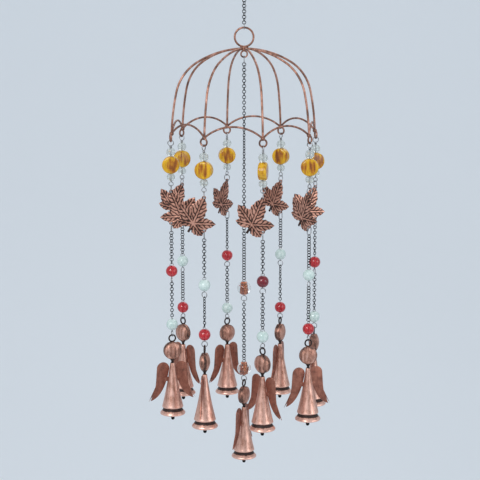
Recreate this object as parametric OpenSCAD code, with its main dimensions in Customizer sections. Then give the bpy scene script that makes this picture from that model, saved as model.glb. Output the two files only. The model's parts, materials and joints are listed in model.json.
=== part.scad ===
// Garden wind chime: a wire dome on a hook and chain, with eight strands of glass beads, a cast leaf,
// curb chain and a winged figure bell round the rim, and a longer ninth strand in the middle.
// Millimetres. The origin is where the hook bears on its hanger, and everything hangs below it.

/* [Hook and top chain] */
// Inner radius of the open hook
hook_in_r = 6; // [5:0.5:9]
// Wire of the hook
hook_wire = 2.2; // [1.6:0.1:3]
// Links of the chain above the dome
top_links = 11; // [7:2:41]
// Outside diameter of the ring that crowns the dome
top_ring_d = 21; // [17:0.5:28]
// Wire of the crowning ring
top_ring_wire = 2; // [1.5:0.1:2.6]

/* [Dome] */
// Radius of the circle on which the eight strands hang
rim_r = 76.2; // [74:0.1:90]
// Wire of the ribs
rib_wire = 2.2; // [1.6:0.1:2.6]
// Radius of the ribs' top arc
rib_top_r = 94.5; // [90:0.5:100]
// Angle that the top arc spans
rib_top_angle = 31.2; // [29:0.1:33]
// Radius of the ribs' shoulder arc
rib_shoulder_r = 46; // [42:0.5:48]
// Angle from the vertical axis at which the shoulder ends
rib_shoulder_end = 78; // [74:1:80]
// Radius of the ribs' skirt arc
rib_skirt_r = 237; // [200:1:260]
// Angle from the vertical axis at which the skirt ends
rib_skirt_end = 88; // [86:0.5:89]
// Rise of each scallop arc between two ribs
scallop_rise = 11; // [8:0.5:15]
// Wire of the scallops
scallop_wire = 2; // [1.4:0.1:2.4]
// Outside diameter of the eye under each rib
rim_eye_d = 9; // [8:0.5:11]
// Wire of the rim eyes
rim_eye_wire = 1.8; // [1.4:0.1:2.2]
// Turn of the first rib from the front
first_rib_turn = 13.8; // [0:0.1:44]

/* [Chain] */
// Spacing of the links
pitch = 2.75; // [2.6:0.05:2.75]
// Mean radius of a link
link_r = 1.78; // [1.76:0.01:1.9]
// Wire of a link
link_wire = 0.74; // [0.6:0.02:0.74]
// Turn of every link to each side of the chain's middle plane
link_turn = 30; // [28:1:45]
// Slow twist of a hanging chain, for each link
link_twist = 2; // [0:0.5:3]

/* [Strands] */
// Links between leaf and upper bead, one value a strand, going round from the front
upper_links = [12, 12, 11, 11, 12, 12, 12, 14];
// Links between the two beads, one value a strand
lower_links = [13, 13, 14, 14, 14, 11, 13, 11];
// Links from the crown to the middle strand's upper bead
middle_upper_links = 81; // [40:1:90]
// Links between the middle strand's beads
middle_lower_links = 23; // [10:1:30]
// Which way each leaf faces, in degrees from the front
leaf_turns = [0, -50, 25, -40, 55, -20, 176, 5];
// Which way each bell faces, in degrees from the front
bell_turns = [-46, 19, 84, 68, 42, -45, 19, 85];
// Which way the middle bell faces
middle_bell_turn = 66; // [0:1:90]
// Which way each flat amber bead faces
amber_turns = [80, 0, 20, -25, 15, 35, 0, -15];

/* [Beads] */
// Diameter of the round red and mint beads
bead_d = 12; // [10:0.5:13]
// Height of a round bead between its flattened poles
bead_h = 11.4; // [9:0.2:11.6]
// Diameter of the clear bead above the amber one
clear_top_d = 9.2; // [8:0.2:10]
// Diameter of the clear bead below the amber one
clear_low_d = 8.4; // [7.6:0.2:9]
// Height of the amber bead
amber_h = 17.5; // [15:0.5:18.5]
// Width of the amber bead
amber_w = 17.8; // [15:0.1:19]
// Thickness of the amber bead
amber_t = 9; // [7:0.5:11]
// Diameter of the middle strand's clear beads
middle_bead_d = 14.4; // [12:0.2:15]
// Height of the middle strand's clear beads
middle_bead_h = 13.8; // [11.5:0.1:14]
// Wire that the beads are threaded on
pin_wire = 0.9; // [0.7:0.1:1]

/* [Leaf] */
// Thickness of the cast leaf
leaf_t = 1.4; // [1:0.1:2]
// Size of the leaf, 1 for a main lobe of about 29 mm
leaf_scale = 1; // [0.9:0.02:1.06]

/* [Bell] */
// Wall of the bell
bell_wall = 0.8; // [0.6:0.1:1]
// Height of the bell's cone
cone_h = 46.5; // [40:0.5:52]
// Radius of the bell's lip
lip_r = 13.1; // [12:0.1:14]
// Diameter of the figure's head
head_d = 18.4; // [16:0.2:20]
// Thickness of the figure's head
head_t = 11; // [9:0.5:12]
// Width of the band round the head's edge
head_band = 5; // [3:0.5:7]
// Thickness of the wing sheet
wing_t = 0.8; // [0.5:0.1:1]
// Length of the clapper below the lip
clapper_shows = 6.6; // [1:0.2:9]

/* [Hidden] */
$fn = 48;
strands = 8;
step_turn = 360 / strands;

// Clearance between two wires that hang on one another
slack = 0.06;
// Where arcs of one wire follow each other, one laps the next by this angle or length and is this much thicker
lap = 0.3;
lap_w = 0.02;
link_w = link_wire / 2;
pin_w = pin_wire / 2;

// Hook: an open arc over the top, a return arc to the axis, a short shank and an eye
hook_w = hook_wire / 2;
hook_r = hook_in_r + hook_w;
hook_z = -hook_in_r;
hook_tip_turn = -10;
hook_lean = 60;
hook_shank = 3;
hook_eye_r = 3.4;
shank_top = hook_z - 2 * hook_r * sin(hook_lean);
hook_eye_z = shank_top - hook_shank - hook_eye_r;
hook_bearing = hook_eye_z - hook_eye_r;

// Small jump rings above and below the top chain
jump_r = 2.8;
jump_z = hook_bearing + hook_w + pin_w + slack - jump_r;
top_chain_z = jump_z - jump_r + pin_w + link_w + slack - link_r;
top_chain_end = top_chain_z - (top_links - 1) * pitch - link_r;
dome_jump_z = top_chain_end + link_w + pin_w + slack - jump_r;
dome_bearing = dome_jump_z - jump_r;

// Crown
top_ring_w = top_ring_wire / 2;
top_ring_r = top_ring_d / 2 - top_ring_w;
top_ring_z = dome_bearing + pin_w + top_ring_w + slack - top_ring_r;
knot_r = 4.2;
knot_h = 3.6;
crown_z = top_ring_z - top_ring_r - top_ring_w - 1;
crown_eye_r = 3.2;
crown_eye_w = 0.8;
crown_eye_z = crown_z - knot_h / 2 - crown_eye_r - 0.5;

// Ribs: three arcs that meet with no corner
rib_w = rib_wire / 2;
shoulder_r0 = (rib_top_r - rib_shoulder_r) * sin(rib_top_angle);
shoulder_z0 = -rib_top_r + (rib_top_r - rib_shoulder_r) * cos(rib_top_angle);
skirt_r0 = shoulder_r0 + (rib_shoulder_r - rib_skirt_r) * sin(rib_shoulder_end);
skirt_z0 = shoulder_z0 + (rib_shoulder_r - rib_skirt_r) * cos(rib_shoulder_end);
rib_foot_r = skirt_r0 + rib_skirt_r * sin(rib_skirt_end);
rib_foot_z = crown_z + skirt_z0 + rib_skirt_r * cos(rib_skirt_end);
weld_r = 2.2;
scallop_w = scallop_wire / 2;
scallop_chord = 2 * rib_foot_r * sin(step_turn / 2);
scallop_r = (pow(scallop_chord / 2, 2) + scallop_rise * scallop_rise) / (2 * scallop_rise);
scallop_in = rib_foot_r * cos(step_turn / 2);
rim_eye_w = rim_eye_wire / 2;
rim_eye_r = rim_eye_d / 2 - rim_eye_w;
rim_eye_z = rib_foot_z - rim_eye_r - 0.6;
rim_bearing = rim_eye_z - rim_eye_r;

// Bead drop, from its top loop down
drop_loop_r = 2.9;
top_tail = 2.4;
low_tail = 1.2;
bead_gap = 0.2;
drop_loop_z = rim_bearing + rim_eye_w + pin_w + slack - drop_loop_r;
clear_top_z = drop_loop_z - drop_loop_r - top_tail;
clear_top_h = 8;
amber_z = clear_top_z - clear_top_h - bead_gap;
clear_low_z = amber_z - amber_h - bead_gap;
clear_low_h = 7;
amber_edge = 0.6;
low_loop_r = 2.2;
low_loop_z = clear_low_z - clear_low_h - low_tail - low_loop_r;
drop_bearing = low_loop_z - low_loop_r;

// Leaf: hung from a round jump ring, with an oval one below. Lobes: angle, length, half width
leaf_ring_r = 3.3;
leaf_ring_z = drop_bearing + 2 * pin_w + slack - leaf_ring_r;
leaf_hole_z = leaf_ring_z - leaf_ring_r;
leaf_hole_r = 0.95;
leaf_boss_r = 2.1;
hub_x = -10.9 * leaf_scale;
hub_z = -25.3 * leaf_scale;
hub_r = 4.6;
low_hole_z = -32.4 * leaf_scale;
lobes = [[67, 28.6, 8.6], [124, 24, 7], [165, 16.5, 5], [-3, 22.5, 6.2], [-54, 15.5, 6.6]];
stem_turn = -120;
stem_len = 9.8;
stem_w = 2.3;
oval_w = 2.6;
oval_h = 9;
oval_z = leaf_hole_z + low_hole_z - oval_h / 2;
leaf_bearing = leaf_hole_z + low_hole_z - oval_h;

// Round beads on a pin: a chain-sized eye on top and a wide loop below
pin_gap = 0.1;
eye_sink = 1.3;
bead_loop_r = 2.85;
bead_neck = 1.1;

// Where each strand's upper and lower bead start
function first_link(bearing) = bearing + pin_w + link_w + slack - link_r;
function pin_eye(bearing, links) = first_link(bearing) - links * pitch;
function bead_top(bearing, links) = pin_eye(bearing, links) - link_r - link_w + eye_sink;
function bead_bearing(bearing, links, h) = bead_top(bearing, links) - h - bead_neck - 2 * bead_loop_r;

// Bell, from its eye down
bell_eye_r = 3.45;
bell_eye_w = 0.8;
head_r = head_d / 2;
head_dome = (head_t - head_band) / 2;
head_ball_r = (head_r * head_r + head_dome * head_dome) / (2 * head_dome);
head_ball_off = head_ball_r - head_t / 2;
neck_r = 1.3;
neck_h = 3.6;
neck_top_r = 3.8;
cone_top_r = 2.3;
cone_mid_r = 6.2;
cone_low_r = 10.9;
groove_r = 9.9;
groove_h = 3;
lip_h = 5;
bell_h = cone_h + groove_h + lip_h;
wing_back = 1.7;
wing_tip = [25.2, -40];
inner_eye_r = 1.7;
inner_eye_w = 0.5;
inner_eye_z = -14;
clapper_eye_r = 1.5;
clapper_w = 0.45;
rod_r = 0.7;
bulb_r = 1.85;
bulb_h = 9;
clapper_gap = inner_eye_w + clapper_w + slack;

// The parts of a bell along its height, from the loop that it hangs on
function eye_z(bearing) = bearing + pin_w + bell_eye_w + slack - bell_eye_r;
function head_z(bearing) = eye_z(bearing) - bell_eye_r - bell_eye_w + 0.4 - head_r;
function cone_z(bearing) = head_z(bearing) - head_r - neck_h;

middle_bearing = crown_eye_z - crown_eye_r;
middle_jump_w = 2.1;
middle_jump_h = 7.6;
middle_jump_z = middle_bearing + crown_eye_w + pin_w + slack - middle_jump_h / 2;
middle_chain = middle_jump_z - middle_jump_h / 2;

strand_parts = ["bead_drop", "leaf", "upper_chain", "lower_chain", "bell", "clapper"];

blackened = "dimgray";
silver = "silver";
copper = "peru";
dark_copper = "saddlebrown";

function strand_turn(k) = first_rib_turn + (k - 1) * step_turn;
function upper_end(k) = bead_bearing(leaf_bearing, upper_links[k - 1], bead_h);
function lower_end(k) = bead_bearing(upper_end(k), lower_links[k - 1], bead_h);
function red_above(k) = k % 2 == 1;

// Turns children to where strand k hangs, with their own facing
module at_strand(k, facing) {
  turn = strand_turn(k);
  translate([rim_r * sin(turn), -rim_r * cos(turn), 0]) rotate([0, 0, facing]) children();
}

// A ring of round wire standing in the XZ plane, centred on z
module ring(r, w, z) {
  translate([0, 0, z]) rotate([90, 0, 0]) rotate_extrude() translate([r, 0]) circle(w);
}

// An arc of round wire in the XZ plane, from one angle to another, anticlockwise from +X
module wire_arc(r, w, from, to) {
  rotate([90, 0, 0]) rotate([0, 0, from]) rotate_extrude(angle = to - from) translate([r, 0]) circle(w);
}

// A ring of round wire that is longer than it is wide
module oval_ring(half_w, h, w, z) {
  straight = h / 2 - half_w;
  translate([0, 0, z + straight]) wire_arc(half_w, w, 0, 180);
  translate([0, 0, z - straight]) wire_arc(half_w, w, 180, 360);
  for (x = [-half_w, half_w]) translate([x, 0, z - straight]) cylinder(r = w, h = 2 * straight);
}

// A curb chain hanging from z, whose first link stands in the XZ plane
module chain(z, links) {
  color(blackened)
    for (i = [0:links - 1])
      rotate([0, 0, (i % 2) * 2 * link_turn + i * link_twist]) ring(link_r, link_w, z - i * pitch);
}

function chain_turn(links) = (links % 2) * 2 * link_turn + links * link_twist;

// A round bead between flattened poles, drilled for its pin
module bead(d, top, h) {
  difference() {
    intersection() {
      translate([0, 0, top - h / 2]) sphere(d = d);
      translate([0, 0, top - h]) cylinder(d = d + 1, h = h);
    }
    translate([0, 0, top - h - 1]) cylinder(r = pin_w + pin_gap, h = h + 2);
  }
}

// The wire through a bead: an eye that ends the chain above and a loop for the next piece
module pin(eye, eye_facing, top, h, loop_facing) {
  loop_z = top - h - bead_neck - bead_loop_r;
  color(silver) {
    rotate([0, 0, eye_facing]) ring(link_r, link_w, eye);
    translate([0, 0, top - h - bead_neck]) cylinder(r = pin_w, h = h + bead_neck - eye_sink + 0.9);
    rotate([0, 0, loop_facing]) ring(bead_loop_r, pin_w, loop_z);
  }
}

// A length of chain with a bead on a pin at its end
module chain_and_bead(bearing, links, d, h, tint, loop_facing) {
  top = bead_top(bearing, links);
  chain(first_link(bearing), links);
  pin(pin_eye(bearing, links), chain_turn(links), top, h, loop_facing);
  color(tint) bead(d, top, h);
}

module hook() {
  color(blackened) {
    translate([0, 0, hook_z]) wire_arc(hook_r, hook_w, hook_tip_turn, 180 + hook_lean);
    translate([0, 0, hook_z]) rotate([0, -hook_tip_turn, 0]) translate([hook_r, 0, 0]) sphere(hook_w);
    translate([-hook_r, 0, shank_top]) wire_arc(hook_r, hook_w + lap_w, 0, hook_lean + lap);
    translate([0, 0, shank_top - hook_shank]) cylinder(r = hook_w, h = hook_shank + lap);
    ring(hook_eye_r, hook_w, hook_eye_z);
  }
}

// The twist is shared out so that both end links stand well across the jump rings that they meet
module top_chain() {
  color(silver) rotate([0, 0, 90]) ring(jump_r, pin_w, jump_z);
  rotate([0, 0, -(top_links - 1) * link_twist / 2]) chain(top_chain_z, top_links);
}

module swivel_ring() {
  color(silver) rotate([0, 0, 90]) ring(jump_r, pin_w, dome_jump_z);
}

module knot_solid() {
  translate([0, 0, crown_z - knot_h / 2]) cylinder(r = knot_r, h = knot_h);
}

module top_ring() {
  color(dark_copper) difference() {
    ring(top_ring_r, top_ring_w, top_ring_z);
    knot_solid();
  }
}

module crown_knot() {
  color(copper) {
    knot_solid();
    ring(crown_eye_r, crown_eye_w, crown_eye_z);
  }
}

module weld(turn) {
  rotate([0, 0, turn]) translate([0, -rib_foot_r, rib_foot_z]) sphere(weld_r);
}

module ribs() {
  color(copper)
    for (k = [1:strands])
      difference() {
        rotate([0, 0, strand_turn(k) - 90]) translate([0, 0, crown_z]) {
          translate([0, 0, -rib_top_r]) wire_arc(rib_top_r, rib_w, 90 - rib_top_angle, 90);
          translate([shoulder_r0, 0, shoulder_z0])
            wire_arc(rib_shoulder_r, rib_w + lap_w, 90 - rib_shoulder_end - lap, 90 - rib_top_angle + lap);
          translate([skirt_r0, 0, skirt_z0])
            wire_arc(rib_skirt_r, rib_w, 90 - rib_skirt_end, 90 - rib_shoulder_end);
        }
        knot_solid();
        weld(strand_turn(k));
      }
}

module scallops() {
  half = asin(scallop_chord / 2 / scallop_r);
  color(dark_copper)
    for (k = [1:strands])
      difference() {
        rotate([0, 0, strand_turn(k) + step_turn / 2])
          translate([0, -scallop_in, rib_foot_z + scallop_rise - scallop_r])
            wire_arc(scallop_r, scallop_w, 90 - half, 90 + half);
        weld(strand_turn(k));
        weld(strand_turn(k + 1));
      }
}

module rim_eyes() {
  color(dark_copper)
    for (k = [1:strands]) {
      weld(strand_turn(k));
      rotate([0, 0, strand_turn(k)]) translate([0, -rim_r, 0]) ring(rim_eye_r, rim_eye_w, rim_eye_z);
    }
}

// A thick disc of glass, rounded towards its edges and flattened where its hole comes out
module amber_bead() {
  corner = norm([amber_w / 2, amber_t / 2]);
  difference() {
    translate([0, 0, amber_z - amber_h / 2]) intersection() {
      rotate([90, 0, 0]) cylinder(d = amber_w, h = amber_t, center = true);
      sphere(corner - amber_edge);
      cylinder(d = 2 * amber_w, h = amber_h, center = true);
    }
    translate([0, 0, amber_z - amber_h - 1]) cylinder(r = pin_w + pin_gap, h = amber_h + 2);
  }
}

module bead_drop(k) {
  turn = strand_turn(k);
  wire_end = low_loop_z + low_loop_r;
  at_strand(k, 0) {
    color(silver) {
      rotate([0, 0, turn + 90]) ring(drop_loop_r, pin_w, drop_loop_z);
      translate([0, 0, wire_end]) cylinder(r = pin_w, h = drop_loop_z - drop_loop_r - wire_end);
      rotate([0, 0, leaf_turns[k - 1]]) ring(low_loop_r, pin_w, low_loop_z);
    }
    color("azure") bead(clear_top_d, clear_top_z, clear_top_h);
    color("goldenrod") rotate([0, 0, amber_turns[k - 1]]) amber_bead();
    color("azure") bead(clear_low_d, clear_low_z, clear_low_h);
  }
}

// Half the width of a lobe at a fraction of its length, with saw teeth towards the tip
function lobe_half(w, t, tooth) = w * pow(sin(180 * pow(t, 0.85)), 0.75) * (1 - tooth * 0.14);

function lobe_edge(length, w, side) =
  [for (i = [1:9]) let (t = i / 10, tooth = i % 2) [length * (t - tooth * 0.012), side * lobe_half(w, t, tooth)]];

module lobe(length, w) {
  right = lobe_edge(length, w, -1);
  left = lobe_edge(length, w, 1);
  polygon(concat([[0, 0]], right, [[length, 0]], [for (i = [8:-1:0]) left[i]]));
}

// The leaf's outline, from the hole by which it hangs
module leaf_outline() {
  difference() {
    union() {
      for (z = [0, low_hole_z]) translate([0, z]) circle(r = leaf_boss_r);
      translate([hub_x, hub_z]) {
        for (l = lobes) rotate(l[0]) lobe(l[1] * leaf_scale, l[2] * leaf_scale);
        circle(r = hub_r * leaf_scale);
        rotate(stem_turn) translate([0, -stem_w / 2]) square([stem_len, stem_w]);
      }
    }
    circle(r = leaf_hole_r);
    translate([0, low_hole_z]) circle(r = leaf_hole_r);
  }
}

module leaf(k) {
  at_strand(k, leaf_turns[k - 1]) {
    color(copper)
      translate([0, leaf_t / 2, leaf_hole_z]) rotate([90, 0, 0]) linear_extrude(leaf_t) leaf_outline();
    color(silver) rotate([0, 0, 90]) {
      ring(leaf_ring_r, pin_w, leaf_ring_z);
      oval_ring(oval_w, oval_h, pin_w, oval_z);
    }
  }
}

module upper_chain(k) {
  tint = red_above(k) ? "firebrick" : "powderblue";
  at_strand(k, leaf_turns[k - 1])
    chain_and_bead(leaf_bearing, upper_links[k - 1], bead_d, bead_h, tint, strand_turn(k) - leaf_turns[k - 1]);
}

module lower_chain(k) {
  tint = red_above(k) ? "powderblue" : "firebrick";
  facing = strand_turn(k) + 90;
  at_strand(k, facing)
    chain_and_bead(upper_end(k), lower_links[k - 1], bead_d, bead_h, tint, bell_turns[k - 1] + 90 - facing);
}

// Outline of one wing, from the top of the cone, with a tab that reaches the cone
function bezier(p, t) =
  pow(1 - t, 3) * p[0] + 3 * pow(1 - t, 2) * t * p[1] + 3 * (1 - t) * t * t * p[2] + pow(t, 3) * p[3];

module wing_outline() {
  outer = [[16.2, -6], [17.6, -22], [16.5, -30], wing_tip];
  inner = [wing_tip, [14, -38.5], [6.5, -26], [3, -6]];
  polygon(concat([for (t = [0:0.125:1]) bezier(outer, t)], [for (t = [0.125:0.125:1]) bezier(inner, t)]));
  translate([9.6, -6]) circle(r = 6.6);
  translate([0, -20]) square([8, 5]);
}

module wings() {
  for (side = [0, 1])
    mirror([side, 0, 0])
      translate([0, wing_back + wing_t / 2, 0]) rotate([90, 0, 0]) linear_extrude(wing_t) wing_outline();
}

// The turned outline of the cone, groove and flared lip, at a distance inside the outer surface
module bell_profile(inset) {
  lip_z = -cone_h - groove_h;
  polygon([
    [0, -inset],
    [cone_top_r - inset, -inset],
    [cone_mid_r - inset, -cone_h * 0.48],
    [cone_low_r - inset, -cone_h],
    [groove_r - inset * 0.9, -cone_h - 0.6 - inset],
    [groove_r + 0.3 - inset, lip_z],
    [lip_r - inset * 1.4, lip_z - lip_h * 0.65],
    [lip_r - inset * 1.4, lip_z - lip_h * 0.8],
    [lip_r - 0.6 - inset * 0.8, -bell_h],
    [0, -bell_h]
  ]);
}

// A round plain head: two domes on a band
module head() {
  intersection() {
    translate([0, -head_ball_off, 0]) sphere(head_ball_r);
    translate([0, head_ball_off, 0]) sphere(head_ball_r);
    rotate([90, 0, 0]) cylinder(r = head_r, h = head_t, center = true);
  }
}

module bell_at(bearing) {
  cone_top = cone_z(bearing);
  head_mid = head_z(bearing);
  color(dark_copper) {
    ring(bell_eye_r, bell_eye_w, eye_z(bearing));
    translate([0, 0, cone_top - 0.4]) cylinder(r = neck_r, h = neck_h);
    translate([0, 0, cone_top + 1.6]) cylinder(r1 = neck_r, r2 = neck_top_r, h = 4.4);
    translate([0, 0, cone_top + inner_eye_z + inner_eye_r]) cylinder(r = inner_eye_w, h = -inner_eye_z - 2);
    ring(inner_eye_r, inner_eye_w, cone_top + inner_eye_z);
  }
  color(copper) translate([0, 0, head_mid]) head();
  color(copper) translate([0, 0, cone_top]) {
    rotate_extrude() difference() {
      bell_profile(0);
      translate([0, -0.01]) bell_profile(bell_wall);
    }
    difference() {
      wings();
      rotate_extrude() bell_profile(bell_wall / 2);
    }
  }
}

module clapper_at(bearing) {
  top = cone_z(bearing);
  pivot = top + inner_eye_z - inner_eye_r;
  eye = pivot + clapper_gap - clapper_eye_r;
  bulb_end = top - bell_h - clapper_shows;
  color("black") {
    rotate([0, 0, 90]) ring(clapper_eye_r, clapper_w, eye);
    translate([0, 0, bulb_end + bulb_h - 1]) cylinder(r = rod_r, h = eye - clapper_eye_r - bulb_end - bulb_h + 1);
    translate([0, 0, bulb_end + bulb_r]) cylinder(r = bulb_r, h = bulb_h - bulb_r);
    translate([0, 0, bulb_end + bulb_r]) sphere(bulb_r);
  }
}

module bell(k) {
  at_strand(k, bell_turns[k - 1]) bell_at(lower_end(k));
}

module clapper(k) {
  at_strand(k, bell_turns[k - 1]) clapper_at(lower_end(k));
}

middle_end = bead_bearing(middle_chain, middle_upper_links, middle_bead_h);
middle_low_end = bead_bearing(middle_end, middle_lower_links, middle_bead_h);

module middle_upper_chain() {
  color(silver) rotate([0, 0, 90]) oval_ring(middle_jump_w, middle_jump_h, pin_w, middle_jump_z);
  chain_and_bead(middle_chain, middle_upper_links, middle_bead_d, middle_bead_h, "sandybrown", 0);
}

module middle_lower_chain() {
  rotate([0, 0, 90])
    chain_and_bead(middle_end, middle_lower_links, middle_bead_d, middle_bead_h, "sandybrown", middle_bell_turn);
}

module middle_bell() {
  rotate([0, 0, middle_bell_turn]) bell_at(middle_low_end);
}

module middle_clapper() {
  rotate([0, 0, middle_bell_turn]) clapper_at(middle_low_end);
}

hook();
top_chain();
swivel_ring();
top_ring();
crown_knot();
ribs();
scallops();
rim_eyes();
for (k = [1:strands]) bead_drop(k);
for (k = [1:strands]) leaf(k);
for (k = [1:strands]) upper_chain(k);
for (k = [1:strands]) lower_chain(k);
for (k = [1:strands]) bell(k);
for (k = [1:strands]) clapper(k);
middle_upper_chain();
middle_lower_chain();
middle_bell();
middle_clapper();
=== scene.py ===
"""A garden wind chime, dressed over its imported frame.

Sizes in the classes are in millimetres and turns in degrees. Every finished piece is in metres, in the frame's own
axes, and rides on the body that carries it.
"""

import json
import logging
import math
from collections.abc import Sequence
from dataclasses import dataclass, field
from enum import Enum
from typing import Any

import bmesh
import bpy
import numpy as np
from mathutils import Matrix, Vector

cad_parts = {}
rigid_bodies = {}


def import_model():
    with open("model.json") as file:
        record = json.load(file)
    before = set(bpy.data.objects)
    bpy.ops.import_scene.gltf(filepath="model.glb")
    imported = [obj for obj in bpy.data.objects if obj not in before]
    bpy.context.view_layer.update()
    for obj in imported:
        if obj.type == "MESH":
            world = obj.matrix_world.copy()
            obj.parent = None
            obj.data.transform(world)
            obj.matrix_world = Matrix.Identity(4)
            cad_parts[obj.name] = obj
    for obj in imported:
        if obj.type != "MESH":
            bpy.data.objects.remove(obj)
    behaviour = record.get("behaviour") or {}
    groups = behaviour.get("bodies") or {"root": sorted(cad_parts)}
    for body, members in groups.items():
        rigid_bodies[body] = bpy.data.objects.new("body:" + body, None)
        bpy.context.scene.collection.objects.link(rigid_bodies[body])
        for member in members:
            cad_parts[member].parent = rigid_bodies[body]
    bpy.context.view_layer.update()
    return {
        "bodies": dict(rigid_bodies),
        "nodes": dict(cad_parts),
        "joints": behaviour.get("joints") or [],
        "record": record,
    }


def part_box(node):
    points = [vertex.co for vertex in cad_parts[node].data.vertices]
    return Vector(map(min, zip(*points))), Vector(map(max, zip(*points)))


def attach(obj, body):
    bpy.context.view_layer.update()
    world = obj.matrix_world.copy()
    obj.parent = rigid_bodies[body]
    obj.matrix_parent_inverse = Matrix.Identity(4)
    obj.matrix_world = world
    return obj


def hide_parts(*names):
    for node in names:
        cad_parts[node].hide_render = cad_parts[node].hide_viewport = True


log = logging.getLogger("wind_chime")

MM = 0.001
Colour = tuple[float, float, float]


# Shader maths


class Signal:
    """A shader socket whose arithmetic adds Math nodes."""

    def __init__(self, graph: "Graph", socket: bpy.types.NodeSocket) -> None:
        """Wraps a socket of a graph."""
        self.graph, self.socket = graph, socket

    def _math(self, operation: str, first: Any, second: Any) -> "Signal":
        """Adds one Math node and returns its result."""
        return self.graph.add("ShaderNodeMath", {"operation": operation}, {0: first, 1: second}).signal(0)

    def __add__(self, other: Any) -> "Signal":
        """This plus another value."""
        return self._math("ADD", self, other)

    def __sub__(self, other: Any) -> "Signal":
        """This minus another value."""
        return self._math("SUBTRACT", self, other)

    def __mul__(self, other: Any) -> "Signal":
        """This times another value."""
        return self._math("MULTIPLY", self, other)

    def __radd__(self, other: Any) -> "Signal":
        """A number plus this."""
        return self._math("ADD", other, self)

    def __rsub__(self, other: Any) -> "Signal":
        """A number minus this."""
        return self._math("SUBTRACT", other, self)

    def between(self, low: float, high: float) -> "Signal":
        """Maps this from low..high to 0..1, smoothly and clamped."""
        node = self.graph.add(
            "ShaderNodeMapRange",
            {"interpolation_type": "SMOOTHSTEP"},
            {"Value": self, "From Min": low, "From Max": high},
        )
        return node.signal("Result")


class Step:
    """A node just added, whose outputs are asked for as signals."""

    def __init__(self, graph: "Graph", node: bpy.types.Node) -> None:
        """Wraps a node of a graph."""
        self.graph, self.node = graph, node

    def signal(self, output: int | str) -> Signal:
        """The named or numbered output."""
        return Signal(self.graph, self.node.outputs[output])


class Graph:
    """The node tree of one finish, which ends in a Principled BSDF."""

    def __init__(self, name: str) -> None:
        """Starts an empty material with its shader and output.

        Args:
            name: the material's name.
        """
        self.material = bpy.data.materials.new(name)
        self.material.use_nodes = True
        self.tree = self.material.node_tree
        self.tree.nodes.clear()
        self.shader = self.add("ShaderNodeBsdfPrincipled").node
        output = self.add("ShaderNodeOutputMaterial").node
        self.tree.links.new(self.shader.outputs["BSDF"], output.inputs["Surface"])

    def add(self, kind: str, settings: dict[str, Any] | None = None, inputs: dict[Any, Any] | None = None) -> Step:
        """Adds any node.

        Args:
            kind: the node's type.
            settings: its properties, set first; "stops" fills a colour ramp.
            inputs: values or signals for its sockets, by name or number.

        Returns:
            The node, wrapped.
        """
        node = self.tree.nodes.new(kind)
        for key, value in (settings or {}).items():
            if key == "stops":
                self._fill_ramp(node.color_ramp, value)
            else:
                setattr(node, key, value)
        for key, value in (inputs or {}).items():
            self.put(node.inputs[key], value)
        return Step(self, node)

    def put(self, socket: bpy.types.NodeSocket, value: Any) -> None:
        """Links a signal to a socket, or sets a plain value on it."""
        if isinstance(value, Signal):
            self.tree.links.new(value.socket, socket)
        else:
            socket.default_value = value

    @staticmethod
    def _fill_ramp(ramp: bpy.types.ColorRamp, stops: Sequence[tuple[float, Colour]]) -> None:
        """Gives a colour ramp its stops."""
        while len(ramp.elements) < len(stops):
            ramp.elements.new(1.0)
        for element, (place, colour) in zip(ramp.elements, stops):
            element.position = place
            element.color = (*colour, 1.0)

    def place(self) -> Signal:
        """Object coordinates, in metres."""
        return self.add("ShaderNodeTexCoord").signal("Object")

    def stretched(self, scale: tuple[float, float, float]) -> Signal:
        """Object coordinates scaled on each axis."""
        inputs = {"Vector": self.place(), "Scale": scale}
        return self.add("ShaderNodeMapping", {"vector_type": "POINT"}, inputs).signal(0)

    def noise(self, grain: float, detail: float = 4.0, rough: float = 0.55, where: Signal | None = None) -> Signal:
        """Fractal noise.

        Args:
            grain: the size of its largest blotches, in millimetres.
            detail: how many finer layers it has.
            rough: how strong the finer layers are.
            where: the coordinates, or Object coordinates if left out.

        Returns:
            The noise, around 0.5.
        """
        return self.add(
            "ShaderNodeTexNoise",
            {"noise_dimensions": "3D"},
            {"Vector": where or self.place(), "Scale": 1 / (grain * MM), "Detail": detail, "Roughness": rough},
        ).signal(0)

    def cells(self, grain: float) -> Signal:
        """Distance to the nearest edge between cells of a size in millimetres."""
        inputs = {"Vector": self.place(), "Scale": 1 / (grain * MM)}
        return self.add("ShaderNodeTexVoronoi", {"feature": "DISTANCE_TO_EDGE"}, inputs).signal("Distance")

    def attribute(self, name: str) -> Signal:
        """A piece's own attribute."""
        return self.add("ShaderNodeAttribute", {"attribute_name": name}).signal("Fac")

    def ramp(self, factor: Signal, stops: Sequence[tuple[float, Colour]]) -> Signal:
        """Colours along a factor."""
        return self.add("ShaderNodeValToRGB", {"stops": stops}, {"Fac": factor}).signal("Color")

    def blend(self, factor: Signal, low: Any, high: Any) -> Signal:
        """Mixes two colours."""
        first, second = (side if isinstance(side, Signal) else (*side, 1.0) for side in (low, high))
        return self.add("ShaderNodeMix", {"data_type": "RGBA"}, {0: factor, 6: first, 7: second}).signal(2)

    def bump(self, height: Signal, depth: float, strength: float = 1.0) -> Signal:
        """A bumped normal from a height, whose depth is in millimetres."""
        inputs = {"Height": height, "Distance": depth * MM, "Strength": strength}
        return self.add("ShaderNodeBump", {}, inputs).signal(0)

    def dress(self, **sockets: Any) -> bpy.types.Material:
        """Sets the shader's sockets, with _ for a space in their names.

        Args:
            **sockets: values or signals.

        Returns:
            The finished material.
        """
        for key, value in sockets.items():
            colour = isinstance(value, tuple) and len(value) == 3
            self.put(self.shader.inputs[key.replace("_", " ")], (*value, 1.0) if colour else value)
        return self.material


# Finishes


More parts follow.
